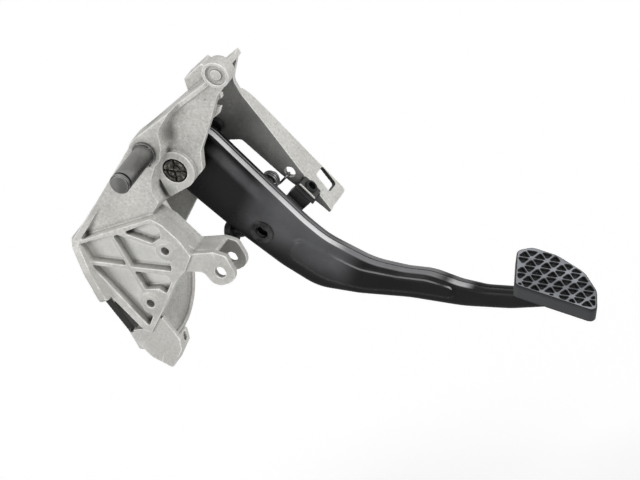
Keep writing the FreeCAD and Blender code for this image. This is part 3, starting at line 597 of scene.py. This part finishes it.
def arm_highlights(paint, base, mottle, down):
    """Painted highlights on the rims and on the rear edge below them, and a painted glint above the pad."""
    y = paint.off_pivot(RIGHT)
    # Painted highlights on the rims of the two shells, broken up by a noise.
    rim = paint.facing(RIM_OUT, 0.42, 0.66)
    patchy = paint.ramp(mottle, 0.35, 0.6, 0.7, 1)
    right = paint.all_of(rim, paint.between(y, *RIGHT_RIM_SIDE), patchy, paint.below(down, *RIGHT_RIM_DOWN))
    base = paint.mix(right, base, RIGHT_RIM_HIGHLIGHT)
    left = paint.all_of(rim, paint.between(y, *LEFT_RIM_SIDE), patchy, paint.below(down, *LEFT_RIM_DOWN))
    base = paint.mix(left, base, LEFT_RIM_HIGHLIGHT)
    # Painted highlight on the rear edge below the bend.
    lower = paint.all_of(paint.facing(LOWER_OUT, 0.55, 0.93), paint.between(down, *LOWER_EDGE_DOWN),
                         paint.ramp(mottle, 0.3, 0.6, 0.6, 1))
    base = paint.mix(lower, base, LOWER_EDGE_HIGHLIGHT)
    # Painted glint above the pad.
    glint = paint.all_of(paint.facing(LOWER_OUT, 0.6, 0.9), paint.between(down, *GLINT_DOWN),
                         paint.ramp(y, *GLINT_SIDE, 1, 0.25))
    return paint.mix(glint, base, GLINT)


def black_paint():
    """Satin black paint on pressed steel, with painted sheen on the arm's side and painted highlights along its
    rear rim.
    """
    paint = Paint("black_paint", specular=0.14)
    paint.rounded(3)
    mottle = paint.noise(34, 4)
    cloud = paint.noise(13, 2)
    down = paint.along(ARM_MIDDLE, ARM_DOWN)
    base = paint.cloudy(cloud, PAINT_DARK, PAINT_LIGHT, low=0.4)
    base = arm_sheen(paint, base, mottle, cloud, down)
    base = arm_highlights(paint, base, mottle, down)
    paint.bump(cloud, 4, 0.5)
    paint.bump(paint.noise(300, 3), 0.12, 0.3)
    paint.bump(paint.noise(1500, 2), 0.05, 0.5)
    return paint.finish(base, paint.ramp(mottle, 0.3, 0.75, 0.22, 0.34))


# Other materials

# Bands by height above the pad's face: the tops of its ribs, the pits between them and its side.
RIB_TOPS = (-0.3, 0.6, 0.2)
PITS = (-4, -0.3, 0.2)
PAD_SIDE = (-9, -3.5, 3)
RUBBER_DARK = (0.014, 0.0145, 0.016)
RUBBER_LIGHT = (0.034, 0.035, 0.038)
RUBBER_SIDE = (0.042, 0.0435, 0.046)
# Near-black painted shade of the pits, also given to the rib tops' rounded edges.
PIT_SHADE = (0.003, 0.003, 0.0032)
RUBBED_DARK = (0.16, 0.168, 0.182)
RUBBED_LIGHT = (0.3, 0.312, 0.333)

# The pin: its ring groove, as a band off its end, and its steel with painted shade below, painted light above and
# a tone of its own at the end, then the steel of its turned marks and edges, and the painted shade of its groove.
PIN_GROOVE = (3.3, 4.9, 0.3)
SHADED_STEEL = ((0.022, 0.0217, 0.021), (0.05, 0.0492, 0.0475))
LIT_STEEL = ((0.16, 0.158, 0.153), (0.27, 0.267, 0.26))
END_STEEL = ((0.085, 0.084, 0.081), (0.17, 0.168, 0.163))
TURNED_STEEL = (0.2, 0.197, 0.192)
EDGE_STEEL = (0.42, 0.415, 0.4)
GROOVE_SHADE = (0.012, 0.0115, 0.011)


def rubber():
    """Moulded black rubber, greyer on the ribs where the shoe rubs it, with painted shade in its pits."""
    paint = Paint("rubber", specular=0.2)
    mottle = paint.noise(45, 4)
    height = paint.along(PAD_CORNER, PAD_OUT)
    tops = paint.between(height, *RIB_TOPS)
    base = paint.cloudy(mottle, RUBBER_DARK, RUBBER_LIGHT, high=0.75)
    side = paint.all_of(paint.between(height, *PAD_SIDE), paint.facing(-PAD_OUT, -0.5, -0.3))
    base = paint.mix(side, base, RUBBER_SIDE)
    # Painted shade in the pits; the rib tops' rounded edges get it too.
    pits = paint.all_of(paint.between(height, *PITS), paint.crevice(3, 0.5, 0.9))
    base = paint.mix(paint.any_of(pits, tops), base, PIT_SHADE)
    top_tone = paint.cloudy(mottle, RUBBED_DARK, RUBBED_LIGHT)
    base = paint.mix(paint.all_of(tops, paint.flat(PAD_OUT, 1.6, 0.95, 0.997)), base, top_tone)
    paint.bump(paint.noise(1800, 3), 0.08, 0.7)
    return paint.finish(base, paint.ramp(mottle, 0.3, 0.7, 0.5, 0.7))


def phosphated_steel():
    """Dark phosphated steel, with painted light on top and painted shade underneath and in its groove, lighter on
    its edges.
    """
    paint = Paint("phosphated_steel", metallic=0.7, specular=0.4)
    paint.rounded(0.3)
    cloud = paint.noise(70, 4)
    lathe = paint.noise(700, 2, stretch=(0.2, 3.0, 0.2))
    shaded = paint.cloudy(cloud, *SHADED_STEEL)
    top_tone = paint.cloudy(cloud, *LIT_STEEL)
    # Painted light and shade: lighter where the pin faces up and rearward, darker underneath.
    base = paint.mix(paint.facing(PIN_TOP, 0.25, 0.98), shaded, top_tone)
    base = paint.mix(paint.facing(LEFT, 0.7, 0.9), base, paint.cloudy(cloud, *END_STEEL))
    base = paint.mix(paint.ramp(lathe, 0.4, 0.7, 0, 0.3), base, TURNED_STEEL)
    base = paint.mix(paint.sharp(0.7, 0.9, 0.985), base, EDGE_STEEL)
    # Painted shade in tight corners and in the ring groove.
    groove = paint.any_of(paint.crevice(2, 0.4, 0.8), paint.between(paint.along(PIN_END, RIGHT), *PIN_GROOVE))
    base = paint.mix(groove, base, GROOVE_SHADE)
    paint.bump(lathe, 0.03, 0.5)
    return paint.finish(base, paint.ramp(cloud, 0.3, 0.7, 0.32, 0.46))


def bolt_steel():
    """Aged dark steel of the pivot bolt's head, with remains of its yellow passivation."""
    paint = Paint("bolt_steel", metallic=0.6)
    paint.rounded(0.3)
    speck = paint.noise(420, 4)
    base = paint.cloudy(paint.noise(130, 3), dark=(0.02, 0.0195, 0.018),
                        light=(0.07, 0.066, 0.058), low=0.4, high=0.62)
    base = paint.mix(paint.ramp(speck, 0.54, 0.66, 0, 0.7), base, (0.26, 0.24, 0.19))
    paint.bump(speck, 0.2, 0.7)
    return paint.finish(base, paint.ramp(speck, 0.3, 0.7, 0.35, 0.55))


def clouded(paint, cloud, dark, light, grain, grain_height, grain_strength, smooth, rough):
    """Finish clouded between two colours and two roughnesses, with a fine grain."""
    paint.bump(paint.noise(grain, 2), grain_height, grain_strength)
    return paint.finish(paint.cloudy(cloud, dark, light), paint.ramp(cloud, 0.3, 0.7, smooth, rough))


def black_plastic():
    """Matt moulded plastic."""
    paint = Paint("black_plastic", specular=0.25)
    paint.rounded(0.4)
    return clouded(paint, paint.noise(90, 3), dark=(0.006, 0.006, 0.0065), light=(0.014, 0.014, 0.015),
                   grain=1600, grain_height=0.04, grain_strength=0.5, smooth=0.45, rough=0.6)


def bush_steel():
    """Blackened steel of the pushrod pin's bushes."""
    paint = Paint("bush_steel", metallic=0.3, specular=0.3)
    paint.rounded(0.6)
    return clouded(paint, paint.noise(150, 3), dark=(0.018, 0.018, 0.019), light=(0.045, 0.045, 0.047),
                   grain=900, grain_height=0.05, grain_strength=0.5, smooth=0.25, rough=0.4)


def zinc_steel():
    """Bright zinc plating, slightly clouded."""
    paint = Paint("zinc_steel", metallic=0.95)
    paint.rounded(0.3)
    return clouded(paint, paint.noise(110, 4), dark=(0.46, 0.46, 0.44), light=(0.62, 0.62, 0.6),
                   grain=900, grain_height=0.03, grain_strength=0.5, smooth=0.28, rough=0.42)


def nylon():
    """Natural nylon of the hub bushes."""
    paint = Paint("bush_plastic", specular=0.4)
    paint.rounded(0.3)
    return clouded(paint, paint.noise(150, 3), dark=(0.46, 0.43, 0.36), light=(0.56, 0.53, 0.46),
                   grain=900, grain_height=0.03, grain_strength=0.4, smooth=0.4, rough=0.55)


def spring_steel():
    """Oiled dark spring wire."""
    paint = Paint("spring_steel", metallic=0.9)
    return clouded(paint, paint.noise(160, 3), dark=(0.1, 0.1, 0.102), light=(0.24, 0.24, 0.242),
                   grain=1200, grain_height=0.03, grain_strength=0.4, smooth=0.28, rough=0.42)


# Pieces

# Share of the way to its neighbours that a pass of smoothing moves a point.
SMOOTHING = 0.5


def use(mesh, material):
    """Gives a mesh one material."""
    mesh.materials.clear()
    mesh.materials.append(material)


def skin(name, node, voxel, passes, most_triangles):
    """Dense copy of a node's mesh, its edges rounded by the voxel's size and by passes of smoothing."""
    mesh = nodes[node].data.copy()
    mesh.materials.clear()
    piece = bpy.data.objects.new(name, mesh)
    scene.collection.objects.link(piece)
    remesh = piece.modifiers.new("remesh", "REMESH")
    remesh.mode = "VOXEL"
    remesh.voxel_size = voxel * MM
    remesh.use_smooth_shade = True
    smooth = piece.modifiers.new("smooth", "SMOOTH")
    smooth.factor = SMOOTHING
    smooth.iterations = passes
    evaluated = piece.evaluated_get(bpy.context.evaluated_depsgraph_get())
    triangles = len(evaluated.data.polygons) * 2
    if triangles > most_triangles:
        decimate = piece.modifiers.new("decimate", "DECIMATE")
        decimate.ratio = most_triangles / triangles
        decimate.use_collapse_triangulate = True
        evaluated = piece.evaluated_get(bpy.context.evaluated_depsgraph_get())
    final = bpy.data.meshes.new_from_object(evaluated)
    piece.modifiers.clear()
    piece.data = final
    final.name = name
    for polygon in final.polygons:
        polygon.use_smooth = True
    return piece


def tube(name, points, radius, sides=10):
    """Round wire along closely spaced points."""
    made = bmesh.new()
    rings = []
    across = (points[1] - points[0]).orthogonal().normalized()
    for index, point in enumerate(points):
        before = points[max(index - 1, 0)]
        after = points[min(index + 1, len(points) - 1)]
        along = (after - before).normalized()
        across = (across - along * across.dot(along)).normalized()
        other = along.cross(across)
        ring = []
        for step in range(sides):
            turn = step / sides * math.tau
            ring.append(made.verts.new(point + (across * math.cos(turn) + other * math.sin(turn)) * radius))
        rings.append(ring)
    for first, second in zip(rings, rings[1:]):
        for step in range(sides):
            following = (step + 1) % sides
            made.faces.new((first[step], first[following], second[following], second[step]))
    made.faces.new(rings[0][::-1])
    made.faces.new(rings[-1])
    mesh = bpy.data.meshes.new(name)
    made.to_mesh(mesh)
    made.free()
    for polygon in mesh.polygons:
        polygon.use_smooth = True
    piece = bpy.data.objects.new(name, mesh)
    scene.collection.objects.link(piece)
    return piece


def eased(corners, longest=4, steps=8):
    """Points along a few corners, with each bend rounded over a length at most."""
    points = [corners[0]]
    for before, corner, after in zip(corners, corners[1:], corners[2:]):
        reach = min((corner - before).length, (after - corner).length, longest * MM) * 0.5
        start = corner + (before - corner).normalized() * reach
        end = corner + (after - corner).normalized() * reach
        for step in range(steps + 1):
            way = step / steps
            points.append(start.lerp(corner, way).lerp(corner.lerp(end, way), way))
    return points + [corners[-1]]


def by_coil(x, y, z):
    """Point beside the coil's axis, with y off the pivot."""
    return place(COIL_PLACE[0] + x, y, COIL_PLACE[2] + z)


def by_hole(x, y, z):
    """Point beside the axis of the web's hole, with y off the pivot."""
    return place(WEB_HOLE[0] + x, y, WEB_HOLE[2] + z)


def spring():
    """Open torsion spring: a leg along the arm, a coil round its post, a hook through the web's hole."""
    leg = [by_coil(LEG_END[0], COIL_START, LEG_END[1]), by_coil(LEG_START[0], COIL_START, LEG_START[1])]
    coil = []
    for step in range(int(COIL_TURNS * COIL_STEPS) + 1):
        turn = step / COIL_STEPS
        angle = COIL_ANGLE + turn * math.tau
        coil.append(by_coil(COIL_RADIUS * math.cos(angle), COIL_START + turn * COIL_PITCH,
                            COIL_RADIUS * math.sin(angle)))
    end = coil[-1]
    out = (end - coil[-2]).normalized()
    hook = eased([end, end + out * HOOK_RUN * MM, by_hole(*HOOK_LEFT), by_hole(*HOOK_RIGHT)])
    return tube("spring", leg + coil + hook[1:], WIRE / 2 * MM)


# Scene

add_camera()
for name, (toward, strength, angle) in LAMPS.items():
    add_sun(name, toward, strength, angle)
add_world()
add_floor(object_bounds()[0].z - FLOOR_DROP)

finishes = {
    "cast_alloy": cast_alloy(),
    "phosphated_steel": phosphated_steel(),
    "zinc_steel": zinc_steel(),
    "black_paint": black_paint(),
    "black_plastic": black_plastic(),
    "bush_plastic": nylon(),
    "spring_steel": spring_steel(),
    "rubber": rubber(),
}
for part in frame["record"]["subparts"]:
    use(nodes[part["node"]].data, finishes[part["material_slot"]])
use(nodes["pivot_bolt"].data, bolt_steel())
dark_bush = bush_steel()
for side in ("left", "right"):
    use(nodes["pin_bush_" + side].data, dark_bush)

for side in ("left", "right"):
    shell = skin("arm_" + side, "arm_" + side + "_shell", voxel=0.7, passes=6, most_triangles=120000)
    use(shell.data, finishes["black_paint"])
    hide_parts("arm_" + side + "_shell")
    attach(shell, "pedal")

coil = spring()
use(coil.data, finishes["spring_steel"])
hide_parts("return_spring")
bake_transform(coil)

casting = skin("casting", "bracket_casting", voxel=0.5, passes=3, most_triangles=195000)
use(casting.data, finishes["cast_alloy"])
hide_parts("bracket_casting")
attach(casting, "bracket")

pad = skin("pad_cover", "rubber_pad", voxel=0.5, passes=2, most_triangles=150000)
use(pad.data, finishes["rubber"])
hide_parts("rubber_pad")
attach(pad, "pedal")

scene.view_settings.view_transform = "Standard"
